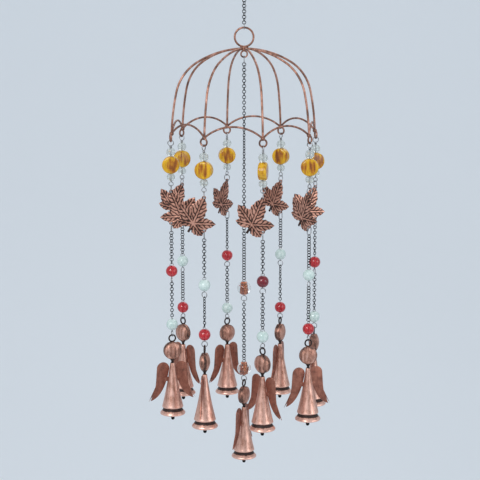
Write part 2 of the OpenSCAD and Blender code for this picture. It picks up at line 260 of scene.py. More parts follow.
@dataclass(frozen=True)
class Finish:
    """One finish and the record's material slot that it stands for."""

    name: str
    slot: str

    def build(self) -> bpy.types.Material:
        """Makes the material."""
        raise NotImplementedError

    def material(self) -> bpy.types.Material:
        """The material, made once."""
        return bpy.data.materials.get(self.name) or self.build()


@dataclass(frozen=True)
class AntiqueCopper(Finish):
    """Copper-plated metal, rubbed bright on what stands out and dark with patina elsewhere."""

    bright: Colour = (0.80, 0.47, 0.38)
    middle: Colour = (0.36, 0.17, 0.115)
    dark: Colour = (0.055, 0.032, 0.027)
    worn: float = 0.0
    grain: float = 5.0
    relief: float = 0.0
    streak: float = 0.25

    def build(self) -> bpy.types.Material:
        """Mixes patina, plating and rubbed metal by noise, by streaks and, on cast pieces, by relief."""
        g = Graph(self.name)
        patches = g.noise(self.grain, 5, 0.6)
        streaks = g.noise(2.4, 3, 0.55, g.stretched((1.0, 1.0, 0.12)))
        fine = g.noise(0.7, 3, 0.6)
        age = patches * (0.75 - self.streak) + streaks * self.streak + fine * 0.25 + self.worn
        if self.relief:
            age = age + (g.attribute("relief") - 0.5) * self.relief
        bare = age.between(0.30, 0.72)
        colour = g.ramp(bare, [(0.0, self.dark), (0.42, self.middle), (1.0, self.bright)])
        return g.dress(
            Base_Color=colour,
            Metallic=bare * 0.35 + 0.60,
            Roughness=0.50 - bare * 0.18 + (fine - 0.5) * 0.15,
            Normal=g.bump(fine * 0.6 + g.noise(2.2, 2) * 0.6, 0.10, 0.45),
        )


@dataclass(frozen=True)
class BlackenedSteel(Finish):
    """Steel blackened in a bath and rubbed grey on its high points."""

    dark: Colour = (0.004, 0.004, 0.005)
    rubbed: Colour = (0.03, 0.028, 0.028)
    share: float = 0.62

    def build(self) -> bpy.types.Material:
        """Mixes black oxide and rubbed steel."""
        g = Graph(self.name)
        wear = g.noise(1.4, 4, 0.6)
        rubbed = wear.between(self.share - 0.1, self.share + 0.14)
        return g.dress(
            Base_Color=g.blend(rubbed, self.dark, self.rubbed),
            Metallic=0.0,
            Specular_IOR_Level=0.18,
            Roughness=0.66 - rubbed * 0.12,
            Normal=g.bump(wear, 0.05, 0.4),
        )


@dataclass(frozen=True)
class SilverWire(Finish):
    """Drawn wire, bright with a little tarnish."""

    def build(self) -> bpy.types.Material:
        """Mixes bright and tarnished metal."""
        g = Graph(self.name)
        tarnish = g.noise(2.5, 4, 0.6).between(0.35, 0.75)
        return g.dress(
            Base_Color=g.blend(tarnish, (0.46, 0.46, 0.47), (0.13, 0.125, 0.12)),
            Metallic=1.0,
            Roughness=0.26 + tarnish * 0.20,
            Normal=g.bump(g.noise(0.5, 2), 0.02, 0.4),
        )


@dataclass(frozen=True)
class StreakedGlass(Finish):
    """Glass with paler streaks drawn out along the hole, clear or nearly opaque."""

    deep: Colour = (0.36, 0.004, 0.012)
    pale: Colour = (0.80, 0.06, 0.07)
    through: float = 0.45
    rough: float = 0.06
    across: float = 1.6
    along: float = 9.0

    def build(self) -> bpy.types.Material:
        """Stretches noise down the bead for its streaks."""
        g = Graph(self.name)
        where = g.stretched((1.0, 1.0, self.across / self.along))
        streaks = g.noise(self.across, 4, 0.6, where).between(0.36, 0.68)
        dips = g.noise(3.2, 2)
        return g.dress(
            Base_Color=g.blend(streaks, self.deep, self.pale),
            Roughness=streaks * 0.05 + self.rough,
            Transmission_Weight=self.through,
            IOR=1.5,
            Coat_Weight=0.35,
            Coat_Roughness=0.03,
            Normal=g.bump(dips, 0.25, 0.35),
        )


@dataclass(frozen=True)
class FoilGlass(Finish):
    """Amber glass, yellow at its rim, with bands of burnt orange and brown folded into it."""

    gold: Colour = (0.62, 0.34, 0.008)
    orange: Colour = (0.46, 0.155, 0.006)
    brown: Colour = (0.22, 0.060, 0.005)
    banded: float = 0.50
    edged: float = 0.14

    def build(self) -> bpy.types.Material:
        """Bands that run down the bead and wander, fading out towards its rim."""
        g = Graph(self.name)
        bands = g.noise(3.0, 2, 0.5, g.stretched((1.0, 1.0, 0.2)))
        fine = g.noise(1.0, 3, 0.6)
        rim = g.attribute("relief").between(0.55, 0.95)
        folded = bands * 0.8 + fine * 0.2 + rim * self.edged
        inner = g.ramp(
            folded.between(self.banded - 0.12, self.banded + 0.24),
            [(0.0, self.brown), (0.30, self.orange), (0.72, self.gold), (1.0, tuple(c * 1.25 for c in self.gold))],
        )
        return g.dress(
            Base_Color=inner,
            Roughness=0.10 + fine * 0.10,
            Transmission_Weight=0.15,
            IOR=1.5,
            Normal=g.bump(g.noise(2.4, 3), 0.30, 0.4),
        )


@dataclass(frozen=True)
class CrackleGlass(Finish):
    """Clear glass, with or without a web of cracks inside it."""

    tint: Colour = (0.80, 0.84, 0.82)
    crack: Colour = (0.55, 0.60, 0.58)
    cracks: float = 1.0
    through: float = 0.72
    rough: float = 0.22

    def build(self) -> bpy.types.Material:
        """Draws the cracks as thin lines between cells."""
        g = Graph(self.name)
        lines = (1 - g.cells(1.9).between(0.0, 0.10)) * self.cracks
        return g.dress(
            Base_Color=g.blend(lines, self.tint, self.crack),
            Roughness=lines * 0.15 + self.rough,
            Transmission_Weight=self.through,
            IOR=1.45,
            Normal=g.bump(lines * 0.4 + g.noise(3.0, 2) * self.cracks, 0.08, 0.4),
        )


@dataclass(frozen=True)
class PaleStage(Finish):
    """The plain floor and backdrop."""

    colour: Colour = (0.84, 0.87, 0.895)

    def build(self) -> bpy.types.Material:
        """A matt colour with the faintest mottle."""
        g = Graph(self.name)
        mottle = g.noise(900, 2)
        shade = g.blend(mottle, tuple(c * 0.985 for c in self.colour), self.colour)
        return g.dress(Base_Color=shade, Roughness=0.95)


class Look(Enum):
    """Every finish of the chime, by the maker's name for it."""

    CHAIN = BlackenedSteel("chain_black", "blackened_steel")
    IRON = BlackenedSteel("clapper_black", "clapper_iron", (0.005, 0.005, 0.005), (0.03, 0.03, 0.03), 0.66)
    WIRE = SilverWire("wire_silver", "silver_wire")
    RIB = AntiqueCopper("rib_copper", "antique_copper", worn=-0.02, grain=7.0)
    RIM = AntiqueCopper("rim_copper", "dark_copper", worn=-0.06, grain=4.0)
    LEAF = AntiqueCopper(
        "leaf_copper",
        "antique_copper",
        *((0.74, 0.39, 0.29), (0.31, 0.135, 0.092), (0.028, 0.015, 0.012)),
        worn=-0.06,
        grain=7.0,
        relief=0.62,
        streak=0.0,
    )
    BELL = AntiqueCopper(
        "copper_bell",
        "bell_copper",
        *((0.88, 0.54, 0.44), (0.44, 0.215, 0.155), (0.035, 0.02, 0.017)),
        grain=6.0,
        relief=0.75,
        streak=0.45,
    )
    WING = AntiqueCopper("wing_copper", "bell_copper", (0.46, 0.20, 0.14), (0.31, 0.12, 0.082), (0.11, 0.045, 0.033))
    RED = StreakedGlass("glass_red", "red_glass", (0.42, 0.005, 0.012), (0.72, 0.03, 0.04), 0.3)
    CRIMSON = StreakedGlass("glass_crimson", "red_glass", (0.13, 0.001, 0.008), (0.30, 0.012, 0.028), 0.3)
    MINT = StreakedGlass("glass_mint", "mint_glass", (0.52, 0.66, 0.62), (0.72, 0.82, 0.79), 0.12, 0.16, 2.6, 3.0)
    AMBER = FoilGlass("glass_amber", "amber_glass")
    CRACKLE = CrackleGlass("glass_crackle", "clear_glass")
    CLEAR = CrackleGlass("glass_clear", "clear_glass", (0.97, 0.96, 0.94), cracks=0.0, through=1.0, rough=0.02)
    CORE = FoilGlass("core_glass", "amber_core", (0.98, 0.31, 0.12), (0.84, 0.19, 0.07), (0.45, 0.09, 0.03), 0.44, 0.0)
    STAGE = PaleStage("stage_paint", "stage")


# Shapes


class Shape:
    """A mesh being shaped with bmesh operators, in millimetres, upright in its own frame."""

    def __init__(self) -> None:
        """Starts empty."""
        self.bm = bmesh.new()

    def since(self, before: set[bmesh.types.BMVert]) -> list[bmesh.types.BMVert]:
        """The vertices that weren't there before."""
        return [v for v in self.bm.verts if v not in before]

    def move(self, verts: Sequence[bmesh.types.BMVert], matrix: Matrix) -> None:
        """Moves vertices by a matrix."""
        bmesh.ops.transform(self.bm, matrix=matrix, verts=verts)

    def ring(
        self,
        radius: float,
        wire: float,
        z: float,
        turn: float = 0.0,
        around: int = 32,
        section: int = 10,
        stretch: float = 0.0,
    ) -> None:
        """Bends round wire into an upright ring.

        Args:
            radius: mean radius of the ring.
            wire: radius of the wire.
            z: height of the ring's centre.
            turn: how far the ring is turned about the vertical, from facing the front.
            around: segments round the ring.
            section: segments round the wire.
            stretch: length of the straight sides that make it an oval.
        """
        before = set(self.bm.verts)
        wire_end = bmesh.ops.create_circle(
            self.bm, segments=section, radius=wire, matrix=Matrix.Translation((radius, 0, 0))
        )["verts"]
        edges = list({e for v in wire_end for e in v.link_edges})
        self.spin(wire_end + edges, (0, 1, 0), around)
        made = self.since(before)
        self.move(made, Matrix.Rotation(math.pi / around, 4, "Y"))
        for v in made:
            v.co.z += math.copysign(stretch / 2, v.co.z)
        self.move(made, Matrix.Translation((0, 0, z)) @ Matrix.Rotation(math.radians(turn), 4, "Z"))

    def spin(
        self, geometry: list, axis: tuple[float, float, float], steps: int, turns: float = 1, climb: float = 0.0
    ) -> None:
        """Spins geometry round an axis through the origin.

        Args:
            geometry: what is spun.
            axis: the axis.
            steps: segments in all.
            turns: how many times it goes round.
            climb: how far each segment rises; without it, the end is merged with the start.
        """
        bmesh.ops.spin(
            self.bm,
            geom=geometry,
            cent=(0, 0, 0),
            axis=axis,
            dvec=(0, 0, climb),
            angle=math.tau * turns,
            steps=steps,
            use_merge=not climb,
            use_normal_flip=False,
            use_duplicate=False,
        )

    def rod(self, radius: float, low: float, high: float, sides: int = 10, top: float | None = None) -> None:
        """Adds an upright rod or cone between two heights."""
        bmesh.ops.create_cone(
            self.bm,
            cap_ends=True,
            segments=sides,
            radius1=radius,
            radius2=radius if top is None else top,
            depth=high - low,
            matrix=Matrix.Translation((0, 0, (low + high) / 2)),
        )

    def coil(self, radius: float, wire: float, low: float, turns: float) -> None:
        """Winds wire round the vertical axis.

        Args:
            radius: mean radius of the coil.
            wire: radius of the wire.
            low: height at which it starts.
            turns: how many times it goes round.
        """
        end = bmesh.ops.create_circle(
            self.bm,
            segments=6,
            radius=wire,
            cap_ends=True,
            matrix=Matrix.Translation((radius, 0, low)) @ Matrix.Rotation(math.pi / 2, 4, "X"),
        )["verts"]
        edges = list({e for v in end for e in v.link_edges})
        faces = list({f for v in end for f in v.link_faces})
        steps = round(14 * turns)
        self.spin(end + edges + faces, (0, 0, 1), steps, turns, 2.05 * wire * turns / steps)

    def turned(self, outline: Sequence[tuple[float, float]], axis: tuple[float, float, float], steps: int) -> None:
        """Turns an outline of (radius, height along the axis) points into a solid of revolution.

        Args:
            outline: the points, which may start and end on the axis.
            axis: the axis, along Z or Y.
            steps: segments round it.
        """
        before = set(self.bm.verts)
        up = Vector(axis)
        verts = [self.bm.verts.new(Vector((r, 0, 0)) + up * h) for r, h in outline]
        edges = [self.bm.edges.new(pair) for pair in zip(verts, verts[1:])]
        self.spin(verts + edges, axis, steps)
        bmesh.ops.remove_doubles(self.bm, verts=self.since(before), dist=0.001)

    def bevel(self, edges: Sequence[bmesh.types.BMEdge], width: float, clamp: bool = False) -> None:
        """Rounds edges over a width, held back where they would overlap if clamp is set."""
        bmesh.ops.bevel(
            self.bm,
            geom=edges,
            offset=width,
            offset_type="OFFSET",
            segments=2,
            profile=0.5,
            affect="EDGES",
            material=-1,
            clamp_overlap=clamp,
        )

    def ball(self, width: float, height: float, z: float, across: int = 36, down: int = 22) -> None:
        """Adds a round bead with flattened, dimpled poles, centred on z."""
        made = bmesh.ops.create_uvsphere(self.bm, u_segments=across, v_segments=down, radius=width / 2)["verts"]
        for v in made:
            v.co.z = max(-height / 2, min(height / 2, v.co.z))
            if math.hypot(v.co.x, v.co.y) < 0.6:
                v.co.z *= 0.93
        self.move(made, Matrix.Translation((0, 0, z)))

    def mesh(self, name: str) -> bpy.types.Mesh:
        """Finishes the shape as a mesh in millimetres.

        Args:
            name: the mesh's name.

        Returns:
            The mesh, with its faces pointing outwards and shaded smooth.
        """
        bmesh.ops.recalc_face_normals(self.bm, faces=self.bm.faces)
        for face in self.bm.faces:
            face.smooth = True
        mesh = bpy.data.meshes.new(name)
        self.bm.to_mesh(mesh)
        self.bm.free()
        return mesh


def give_relief(mesh: bpy.types.Mesh, values: np.ndarray) -> None:
    """Writes how far each vertex stands out, from 0 in a hollow to 1 on a ridge."""
    layer = mesh.attributes.get("relief") or mesh.attributes.new("relief", "FLOAT", "POINT")
    layer.data.foreach_set("value", np.clip(values, 0, 1).astype(np.float32))


def coordinates(mesh: bpy.types.Mesh) -> np.ndarray:
    """The mesh's vertices as rows."""
    flat = np.zeros(len(mesh.vertices) * 3)
    mesh.vertices.foreach_get("co", flat)
    return flat.reshape(-1, 3)


def sharp_below(mesh: bpy.types.Mesh, angle: float) -> None:
    """Keeps edges crisp where faces meet at more than an angle."""
    mesh.shade_smooth()
    mesh.set_sharp_from_angle(angle=math.radians(angle))


@dataclass
class Bench:
    """Where finished pieces are put on the frame."""

    frame: dict[str, Any]
    made: list[str] = field(default_factory=list)

    def __post_init__(self) -> None:
        """Looks up the frame's joints by name."""
        self.joints = {j["name"]: j for j in self.frame["joints"]}

    def pivot(self, joint: str) -> Vector:
        """A joint's place in millimetres."""
        return Vector(self.joints[joint]["pos_m"]) / MM

    def put(
        self,
        name: str,
        mesh: bpy.types.Mesh,
        look: Look,
        body: str,
        at: Vector = Vector((0, 0, 0)),
        turn: float = 0.0,
        stands_for: Sequence[str] = (),
    ) -> None:
        """Puts a piece on its body.

        Args:
            name: the piece's name.
            mesh: its shape, in millimetres in its own frame.
            look: its finish.
            body: the body that it rides on.
            at: where its own origin goes, in millimetres.
            turn: its turn about the vertical.
            stands_for: the frame's nodes that it stands for.
        """
        placed = mesh.copy()
        placed.name = name
        placed.transform(Matrix.Scale(MM, 4) @ Matrix.Translation(at) @ Matrix.Rotation(math.radians(turn), 4, "Z"))
        placed.materials.clear()
        placed.materials.append(look.value.material())
        piece = bpy.data.objects.new(name, placed)
        bpy.context.scene.collection.objects.link(piece)
        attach(piece, body)
        if stands_for:
            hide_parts(*stands_for)
        self.made.append(name)
        log.info("%s rides on %s", name, body)

    def dress_node(self, node: str, look: Look) -> None:
        """Gives a node of the frame a better finish."""
        piece = self.frame["nodes"][node]
        piece.data.materials.clear()
        piece.data.materials.append(look.value.material())
        log.info("%s keeps its shape", node)


# Chain and wire


@dataclass(frozen=True)
class Gauge:
    """Sizes that every strand shares."""

    pitch: float = 2.75
    link_r: float = 1.78
    link_w: float = 0.37
    pin_w: float = 0.45
    slack: float = 0.06
    link_turn: float = 30.0
    link_twist: float = 2.0
    eye_sink: float = 1.3
    loop_r: float = 2.85
    neck: float = 1.1

    def first_link(self, bearing: float) -> float:
        """Height of the first link that hangs from a bearing."""
        return bearing + self.pin_w + self.link_w + self.slack - self.link_r

    def bead_top(self, bearing: float, links: int) -> float:
        """Top of the bead that ends a chain."""
        return self.first_link(bearing) - links * self.pitch - self.link_r - self.link_w + self.eye_sink

    def links_between(self, bearing: float, end: float, bead: float) -> int:
        """How many links lie between a bearing and the next one, below a bead."""
        free = self.bead_top(bearing, 0) - bead - self.neck - 2 * self.loop_r - end
        return round(free / self.pitch)


@dataclass(frozen=True)
class ChainRun:
    """A run of curb chain and, at its end, a bead on a pin."""

    gauge: Gauge
    bearing: float
    end: float
    width: float
    height: float

    @property
    def links(self) -> int:
        """The number of links."""
        return self.gauge.links_between(self.bearing, self.end, self.height)

    @property
    def top(self) -> float:
        """Top of the bead."""
        return self.gauge.bead_top(self.bearing, self.links)

    def chain(self) -> bpy.types.Mesh:
        """The links, each twisted flat as a curb link is."""
        return curb_chain(self.gauge, self.gauge.first_link(self.bearing) - self.bearing, self.links)

    def pin(self, loop_turn: float) -> bpy.types.Mesh:
        """The wire through the bead, with its eye and its loop."""
        g, top = self.gauge, self.top - self.bearing
        shape = Shape()
        turn = (self.links % 2) * 2 * g.link_turn + self.links * g.link_twist
        shape.ring(g.link_r, g.link_w, g.first_link(0) - self.links * g.pitch, turn, 20, 8)
        shape.rod(g.pin_w, top - self.height - g.neck, top + 0.2, 8)
        shape.ring(g.loop_r, g.pin_w, top - self.height - g.neck - g.loop_r, loop_turn, 32, 10)
        return shape.mesh("pin")

    def bead(self) -> bpy.types.Mesh:
        """The bead itself."""
        shape = Shape()
        shape.ball(self.width, self.height, self.top - self.bearing - self.height / 2)
        return shape.mesh("bead")


def curb_chain(gauge: Gauge, first: float, links: int) -> bpy.types.Mesh:
    """A run of curb chain.

    Args:
        gauge: the chain's sizes.
        first: height of the first link's centre.
        links: how many links there are.

    Returns:
        The chain's mesh, in its own frame.
    """
    shape = Shape()
    for i in range(links):
        turn = (i % 2) * 2 * gauge.link_turn + i * gauge.link_twist
        shape.ring(gauge.link_r, gauge.link_w, first - i * gauge.pitch, turn, 12, 5)
    return shape.mesh("chain")


# The pieces of a strand


@dataclass(frozen=True)
class BeadDrop:
    """A clear, an amber and a clear bead on one wire, between a rim eye and a leaf."""

    gauge: Gauge
    amber_turn: float
    leaf_turn: float
    strand_turn: float
    loop_r: float = 2.9
    low_loop_r: float = 2.2
    top_d: float = 9.2
    top_h: float = 8.0
    amber_w: float = 17.8
    amber_h: float = 17.5
    amber_t: float = 9.0
    low_d: float = 8.4
    low_h: float = 7.0
    rim_eye_w: float = 0.9
    top_tail: float = 2.4
    low_tail: float = 1.2
    bead_gap: float = 0.2

    @property
    def loop_z(self) -> float:
        """Centre of the top loop, below the rim eye's bearing."""
        return self.rim_eye_w + self.gauge.pin_w + self.gauge.slack - self.loop_r

    @property
    def top_z(self) -> float:
        """Top of the upper clear bead."""
        return self.loop_z - self.loop_r - self.top_tail

    @property
    def amber_z(self) -> float:
        """Top of the amber bead."""
        return self.top_z - self.top_h - self.bead_gap

    @property
    def low_z(self) -> float:
        """Top of the lower clear bead."""
        return self.amber_z - self.amber_h - self.bead_gap

    def wire(self) -> bpy.types.Mesh:
        """The wire, with a wrapped loop at its top and a plain loop at its foot."""
        shape, w = Shape(), self.gauge.pin_w
        low_loop = self.low_z - self.low_h - self.low_tail - self.low_loop_r
        shape.ring(self.loop_r, w, self.loop_z, self.strand_turn + 90)
        shape.coil(2 * w, w * 0.92, self.top_z + 0.5, 2)
        shape.rod(w, low_loop + self.low_loop_r, self.loop_z - self.loop_r, 8)
        shape.ring(self.low_loop_r, w, low_loop, self.leaf_turn)
        return shape.mesh("drop_wire")

    def upper_bead(self) -> bpy.types.Mesh:
        """The clear bead above."""
        return self.clear_bead(self.top_d, self.top_h, self.top_z)

    def lower_bead(self) -> bpy.types.Mesh:
        """The clear bead below."""
        return self.clear_bead(self.low_d, self.low_h, self.low_z)

    @staticmethod
    def clear_bead(width: float, height: float, top: float) -> bpy.types.Mesh:
        """A clear bead under a height."""
        shape = Shape()
        shape.ball(width, height, top - height / 2, 28, 18)
        return shape.mesh("clear_bead")

    def amber_bead(self) -> bpy.types.Mesh:
        """The amber bead, a thick disc on edge with rounded rims and faces that swell a little."""
        shape = Shape()
        r, half, round_r = self.amber_w / 2, self.amber_t / 2, 1.7
        flat_r, rim_z = r - round_r, half - 1.95
        front = [(s, half - 0.3 * (s / r) ** 2) for s in np.linspace(0, flat_r, 12)]
        corner = np.linspace(0.15, math.pi / 2, 8)
        front += [(flat_r + round_r * math.sin(a), rim_z + round_r * math.cos(a)) for a in corner]
        outline = front + [(s, -h) for s, h in reversed(front)]
        shape.turned(outline, (0, 1, 0), 56)
        shape.move(
            shape.bm.verts,
            Matrix.Translation((0, 0, self.amber_z - self.amber_h / 2))
            @ Matrix.Rotation(math.radians(self.amber_turn), 4, "Z")
            @ Matrix.Diagonal((1, 1, self.amber_h / self.amber_w, 1)),
        )
        mesh = shape.mesh("amber_bead")
        co = coordinates(mesh) - (0, 0, self.amber_z - self.amber_h / 2)
        give_relief(mesh, np.linalg.norm(co, axis=1) / math.hypot(r, half))
        return mesh


@dataclass
class Leaf:
    """The cast leaf, cut from the frame's own plate and given veins, with its two rings."""

    gauge: Gauge
    plate: bpy.types.Object
    at: Vector
    hub: tuple[float, float] = (-10.9, -25.3)
    lobes: tuple[tuple[float, float], ...] = ((67, 28.6), (124, 24), (165, 16.5), (-3, 22.5), (-54, 15.5))
    thickness: float = 1.4
    grain: float = 0.42
    ring_r: float = 3.3
    oval_w: float = 2.6
    oval_h: float = 9.0
    low_hole: float = -32.4
    vein_gap: float = 4.6

    @property
    def hole_z(self) -> float:
        """Height of the hole that the leaf hangs by, below the drop's bearing."""
        return 2 * self.gauge.pin_w + self.gauge.slack - 2 * self.ring_r

    def blade(self) -> bpy.types.Mesh:
        """The blade with its veins, in the leaf's own frame.

        Returns:
            The blade's mesh, with its relief.
        """
        bm = bmesh.new()
        bm.from_mesh(self.plate.data)
        bmesh.ops.transform(bm, matrix=Matrix.Scale(1 / MM, 4) @ Matrix.Translation(-self.at), verts=bm.verts)
        bmesh.ops.remove_doubles(bm, verts=bm.verts, dist=0.002)
        rings = [v for v in bm.verts if not self._in_blade(v)]
        bmesh.ops.delete(bm, geom=rings, context="VERTS")
        flat = bpy.data.meshes.new("blade_flat")
        bm.to_mesh(flat)
        bm.free()
        holder = bpy.data.objects.new("blade_flat", flat)
        bpy.context.scene.collection.objects.link(holder)
        remesh = holder.modifiers.new("even_grain", "REMESH")
        remesh.mode, remesh.voxel_size, remesh.use_smooth_shade = "VOXEL", self.grain, True
        graph = bpy.context.evaluated_depsgraph_get()
        even = bpy.data.meshes.new_from_object(holder.evaluated_get(graph))
        bpy.data.objects.remove(holder)
        self._raise_veins(even)
        even.shade_smooth()
        return even

    def _in_blade(self, vert: bmesh.types.BMVert) -> bool:
        """Whether a vertex belongs to the plate, by the size of what it is joined to."""
        half = self.thickness / 2
        return abs(abs(vert.co.y) - half) < 0.01 and any(
            abs(abs(e.other_vert(vert).co.y) - half) < 0.01 for e in vert.link_edges
        )

    def _raise_veins(self, mesh: bpy.types.Mesh) -> None:
        """Raises midribs and side veins and sinks the panels between them."""
        co = coordinates(mesh)
        x, z = co[:, 0] - self.hub[0], co[:, 2] - self.hole_z - self.hub[1]
        height = np.full(len(co), 0.5)
        nearest = np.full(len(co), 1e9)
        for turn, length in self.lobes:
            a = math.radians(turn)
            along = x * math.cos(a) + z * math.sin(a)
            side = -x * math.sin(a) + z * math.cos(a)
            across = np.abs(side)
            away = np.hypot(across, np.maximum(np.maximum(-along, along - length * 0.94), 0))
            midrib = np.exp(-((away / 0.55) ** 2)) * (1 - 0.4 * np.clip(along / length, 0, 1))
            beside = np.exp(-(((away - 1.25) / 0.42) ** 2)) * np.clip(along / 2, 0, 1)
            wander = 0.45 * np.sin(along * 0.9 + turn) + 0.3 * np.sin(side * 1.7 + turn * 2)
            step = (along - across * 0.8 - 0.04 * across**2 + wander + 1.5 * (side > 0)) / self.vein_gap
            off = (step - np.round(step)) * self.vein_gap
            groove = np.exp(-((off / 0.42) ** 2)) * np.clip((across - 0.8) / 1.0, 0, 1)
            fine = np.exp(-(((off - 1.15) / 0.3) ** 2)) * np.clip((across - 2.2) / 1.2, 0, 1)
            panel = 0.72 + 0.12 * np.cos(off * 2 * math.pi / self.vein_gap + math.pi)
            value = np.maximum(panel - 0.75 * groove - 0.28 * fine - 0.55 * beside, midrib)
            height = np.where((away < nearest) & (along > 1.5), value, height)
            nearest = np.where(along > 1.5, np.minimum(nearest, away), nearest)
        stem = math.radians(-120)
        run = x * math.cos(stem) + z * math.sin(stem)
        off = np.abs(-x * math.sin(stem) + z * math.cos(stem))
        height = np.where((run > 0) & (off < 1.6), 0.85 - off / 2.2 - 0.05 * run, height)
        hub = np.hypot(x, z)
        height = np.maximum(height, np.exp(-((hub / 2.2) ** 2)))
        edge = np.clip(1 - np.abs(co[:, 1]) / (self.thickness / 2), 0, 1)
        co[:, 1] -= np.sign(co[:, 1]) * np.clip(1 - height, 0, 1) * 0.34 * (1 - edge)
        mesh.vertices.foreach_set("co", co.reshape(-1))
        give_relief(mesh, np.where(edge > 0.35, 0.45, height))

    def rings(self) -> bpy.types.Mesh:
        """The round ring above and the oval one below."""
        shape, w = Shape(), self.gauge.pin_w
        shape.ring(self.ring_r, w, 2 * w + self.gauge.slack - self.ring_r, 90)
        oval_z = self.hole_z + self.low_hole - self.oval_h / 2
        shape.ring(self.oval_w, w, oval_z, 90, stretch=self.oval_h - 2 * self.oval_w)
        return shape.mesh("leaf_rings")


@dataclass(frozen=True)
class Bell:
    """A bell in the form of a winged figure: an eye, a round plain head, a cone, a flared lip and two wings."""

    gauge: Gauge
    eye_r: float = 3.45
    eye_w: float = 0.8
    head_d: float = 18.4
    head_t: float = 11.0
    head_band: float = 5.0
    neck_h: float = 3.6
    cone_h: float = 46.5
    lip_r: float = 13.1
    wall: float = 0.8
    wing_back: float = 1.7
    wing_t: float = 0.8
    eye_sunk: float = 0.4
    neck_r: float = 1.3
    neck_top_r: float = 3.8
    hanger_r: float = 1.7
    hanger_w: float = 0.5
    hanger_drop: float = 14.0

    @property
    def eye_z(self) -> float:
        """Centre of the eye, below the loop's bearing."""
        return self.gauge.pin_w + self.eye_w + self.gauge.slack - self.eye_r

    @property
    def head_z(self) -> float:
        """Centre of the head."""
        return self.eye_z - self.eye_r - self.eye_w + self.eye_sunk - self.head_d / 2

    @property
    def cone_z(self) -> float:
        """Top of the cone."""
        return self.head_z - self.head_d / 2 - self.neck_h

    def head(self) -> bpy.types.Mesh:
        """The eye, the plain round head with its banded edge, and the neck."""
        shape = Shape()
        shape.ring(self.eye_r, self.eye_w, self.eye_z, 0, 36, 12)
        before = set(shape.bm.verts)
        r, half = self.head_d / 2, self.head_t / 2
        domed = half - self.head_band / 2
        ball = (r * r + domed * domed) / (2 * domed)
        front = [(s, math.sqrt(ball * ball - s * s) - (ball - half)) for s in np.linspace(0, r - 1.2, 12)]
        start = front[-1][1]
        front += [(r - 0.62, start - 0.28), (r - 0.24, start - 0.72), (r - 0.05, start - 1.3)]
        front += [(r - 0.1, 0.35), (r, 0.15)]
        outline = front + [(s, -h) for s, h in reversed(front)]
        shape.turned(outline, (0, 1, 0), 48)
        shape.move(shape.since(before), Matrix.Translation((0, 0, self.head_z)))
        shape.rod(self.neck_r, self.cone_z - 0.4, self.cone_z + self.neck_h - 0.4, 20)
        shape.rod(self.neck_r + 0.02, self.cone_z + 1.6, self.cone_z + 6, 20, self.neck_top_r)
        hanger_z = self.cone_z - self.hanger_drop
        shape.rod(self.hanger_w, hanger_z + self.hanger_r, self.cone_z - 0.3, 8)
        shape.ring(self.hanger_r, self.hanger_w, hanger_z, 0, 20, 8)
        mesh = shape.mesh("bell_head")
        z = coordinates(mesh)
        away = np.hypot(z[:, 0], z[:, 2] - self.head_z)
        band = np.clip((away - r + 1.6) / 1.4, 0, 1)
        neck = np.clip((self.cone_z + 5.2 - z[:, 2]) / 2.2, 0, 1)
        eye = np.clip((z[:, 2] - self.head_z - r - 0.2) / 1.2, 0, 1)
        give_relief(mesh, 0.50 - 0.10 * band - 0.55 * neck - 0.32 * eye)
        return mesh

    def body(self) -> bpy.types.Mesh:
        """The cone, ridge, groove and flared lip, with their wall."""
        w, c = self.wall, self.cone_h
        top_r, foot_r, steps = 2.32, 10.75, 18
        outer = [(0.0, 0.0), (1.6, 0.0), (2.1, -0.15), (top_r, -0.6)]
        for i in range(1, steps + 1):
            t = i / steps
            outer.append((top_r + (foot_r - top_r) * (0.30 * t * t + 0.70 * t), -0.6 - (c - 1.8) * t))
        ridge = [(11.0, 0.5), (11.02, -0.1), (10.7, -0.45), (10.05, -0.75)]
        flare = [(9.85, -1.4), (9.95, -2.2), (10.35, -3.0), (11.2, -4.2), (12.2, -5.3), (12.95, -6.2)]
        lip = [(self.lip_r, -6.8), (self.lip_r - 0.05, -7.3), (12.7, -7.75), (12.2, -8.0)]
        inside = [(11.7, -7.8), (11.3, -6.6), (10.2, -4.6), (9.2, -2.8), (8.95, -1.2), (9.4, 0.2)]
        outer += [(r, -c + h) for r, h in ridge + flare + lip]
        inner = [(r, -c + h) for r, h in inside] + [(5.3, -c * 0.48), (1.3, -1.8), (0.0, -w)]
        shape = Shape()
        shape.turned(outer + inner, (0, 0, 1), 56)
        shape.move(shape.bm.verts, Matrix.Translation((0, 0, self.cone_z)))
        mesh = shape.mesh("bell_body")
        co = coordinates(mesh)
        h = co[:, 2] - self.cone_z
        reach = np.hypot(co[:, 0], co[:, 1])
        on_ridge = np.exp(-(((h + c) / 0.9) ** 2))
        on_lip = np.exp(-(((h + c + 7) / 1.1) ** 2))
        in_groove = np.exp(-(((h + c + 1.8) / 1.2) ** 2))
        down_cone = np.clip(-h / c, 0, 1)
        value = 0.54 + 0.08 * down_cone + 0.15 * on_ridge + 0.2 * on_lip - 0.5 * in_groove
        value = np.where(reach < np.interp(-h, [0, 22, 46, 54.5], [1.6, 5.6, 9.6, 11.9]), 0.05, value)
        give_relief(mesh, value)
        return mesh

    @staticmethod
    def _curve(points: Sequence[tuple[float, float]], t: float) -> Vector:
        """A point of a cubic curve."""
        a, b, c, d = (Vector(p) for p in points)
        s = 1 - t
        return s**3 * a + 3 * s * s * t * b + 3 * s * t * t * c + t**3 * d

